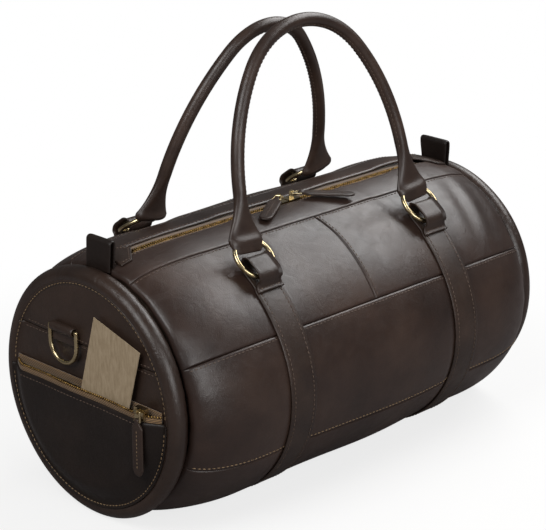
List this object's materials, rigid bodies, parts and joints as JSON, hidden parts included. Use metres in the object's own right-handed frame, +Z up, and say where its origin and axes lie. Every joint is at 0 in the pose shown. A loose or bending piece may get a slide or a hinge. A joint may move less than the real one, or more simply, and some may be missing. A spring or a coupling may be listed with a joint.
{
  "type": "barrel bag",
  "caption": "Leather barrel bag with rolled handles on rings, carry straps round the body, a zip on top and a zip pocket on one padded end.",
  "frame": {"origin": "middle of the bag's footprint, on the ground under the carry straps", "axes": "+X along the barrel to the plain end, -X to the pocket end, -Y to the front of the picture, +Z up"},
  "size_m": [0.5102, 0.2826, 0.4264],
  "materials": {
    "hide": "satin",
    "strap_hide": "satin",
    "handle_hide": "satin",
    "hardware": "polished",
    "zip_tape": "matte",
    "zip_teeth": "satin",
    "lining": "matte",
    "board": "matte",
    "cord": "matte",
    "card": "matte"
  },
  "bodies": {
    "bag": {"front_upper_panel_left": "hide", "front_upper_panel_right": "hide", "back_upper_panel_left": "hide", "back_upper_panel_right": "hide", "front_lower_panel": "hide", "back_lower_panel": "hide", "front_placket": "hide", "back_placket": "hide", "base_panel": "hide", "zip_end_patch_left": "hide", "zip_end_patch_right": "hide", "end_panel_left": "hide", "end_panel_right": "hide", "pocket_back_panel": "hide", "pocket_front_panel": "hide", "end_rim_left": "hide", "end_rim_right": "hide", "carry_strap_left": "strap_hide", "carry_strap_right": "strap_hide", "grab_loop_left": "strap_hide", "grab_loop_right": "strap_hide", "d_ring_loop_left": "strap_hide", "d_ring_loop_right": "strap_hide", "front_zip_tape": "zip_tape", "back_zip_tape": "zip_tape", "pocket_upper_tape": "zip_tape", "pocket_lower_tape": "zip_tape", "front_zip_teeth": "zip_teeth", "back_zip_teeth": "zip_teeth", "pocket_upper_teeth": "zip_teeth", "pocket_lower_teeth": "zip_teeth", "main_lining": "lining", "base_board": "board", "end_board_left": "board", "end_board_right": "board"},
    "ring_front_left": {"ring_front_left": "hardware"},
    "ring_front_right": {"ring_front_right": "hardware"},
    "ring_back_left": {"ring_back_left": "hardware"},
    "ring_back_right": {"ring_back_right": "hardware"},
    "handle_front": {"handle_front": "handle_hide", "handle_cord_front": "cord"},
    "handle_back": {"handle_back": "handle_hide", "handle_cord_back": "cord"},
    "main_slider_left": {"main_slider_left": "hardware"},
    "main_slider_right": {"main_slider_right": "hardware"},
    "main_pull_left": {"main_pull_link_left": "hardware", "main_pull_tab_left": "strap_hide"},
    "main_pull_right": {"main_pull_link_right": "hardware", "main_pull_tab_right": "strap_hide"},
    "pocket_slider": {"pocket_slider": "hardware"},
    "pocket_pull": {"pocket_pull_link": "hardware", "pocket_pull_tab": "strap_hide"},
    "pocket_card": {"pocket_card": "card"},
    "d_ring_left": {"d_ring_left": "hardware"},
    "d_ring_right": {"d_ring_right": "hardware"}
  },
  "joints": [
    {"name": "ring_front_left_swing", "type": "hinge", "parent": "bag", "child": "ring_front_left", "pos_m": [-0.1085, -0.09043, 0.22046], "axis": [1, 0, 0], "range_deg": [0, 100]},
    {"name": "ring_front_right_swing", "type": "hinge", "parent": "bag", "child": "ring_front_right", "pos_m": [0.1155, -0.09043, 0.22046], "axis": [1, 0, 0], "range_deg": [0, 100]},
    {"name": "handle_front_swing", "type": "hinge", "parent": "ring_front_left", "child": "handle_front", "pos_m": [-0.1085, -0.06498, 0.24591], "axis": [1, 0, 0], "range_deg": [0, 50]},
    {"name": "ring_back_left_swing", "type": "hinge", "parent": "bag", "child": "ring_back_left", "pos_m": [-0.1085, 0.09043, 0.22046], "axis": [-1, 0, 0], "range_deg": [0, 112]},
    {"name": "ring_back_right_swing", "type": "hinge", "parent": "bag", "child": "ring_back_right", "pos_m": [0.1155, 0.09043, 0.22046], "axis": [-1, 0, 0], "range_deg": [0, 112]},
    {"name": "handle_back_swing", "type": "hinge", "parent": "ring_back_left", "child": "handle_back", "pos_m": [-0.1085, 0.06024, 0.24006], "axis": [-1, 0, 0], "range_deg": [0, 50]},
    {"name": "main_slider_left_run", "type": "slide", "parent": "bag", "child": "main_slider_left", "axis": [-1, 0, 0], "range_m": [0, 0.1435]},
    {"name": "main_slider_right_run", "type": "slide", "parent": "bag", "child": "main_slider_right", "axis": [1, 0, 0], "range_m": [0, 0.1325]},
    {"name": "main_pull_left_lift", "type": "hinge", "parent": "main_slider_left", "child": "main_pull_left", "pos_m": [0.0005, 0, 0.2486], "axis": [-0.5299, 0.848, 0], "range_deg": [0, 88]},
    {"name": "main_pull_right_lift", "type": "hinge", "parent": "main_slider_right", "child": "main_pull_right", "pos_m": [0.0175, 0, 0.2486], "axis": [-0.6293, -0.7771, 0], "range_deg": [0, 88]},
    {"name": "pocket_slider_run", "type": "slide", "parent": "bag", "child": "pocket_slider", "axis": [0, 1, 0], "range_m": [0, 0.16]},
    {"name": "pocket_pull_lift", "type": "hinge", "parent": "pocket_slider", "child": "pocket_pull", "pos_m": [-0.2529, -0.08, 0.1298], "axis": [0, 1, 0], "range_deg": [0, 110]},
    {"name": "d_ring_left_swing", "type": "hinge", "parent": "bag", "child": "d_ring_left", "pos_m": [-0.2434, 0.028, 0.1735], "axis": [0, 1, 0], "range_deg": [0, 165]},
    {"name": "d_ring_right_swing", "type": "hinge", "parent": "bag", "child": "d_ring_right", "pos_m": [0.2504, 0.028, 0.1735], "axis": [0, -1, 0], "range_deg": [0, 165]},
    {"name": "pocket_card_lift", "type": "slide", "parent": "bag", "child": "pocket_card", "axis": [0, -0.2689, 0.9632], "range_m": [0, 0.09]}
  ],
  "couplings": [
    {"joint": "ring_front_right_swing", "follows": "ring_front_left_swing", "ratio": 1},
    {"joint": "ring_back_right_swing", "follows": "ring_back_left_swing", "ratio": 1}
  ]
}
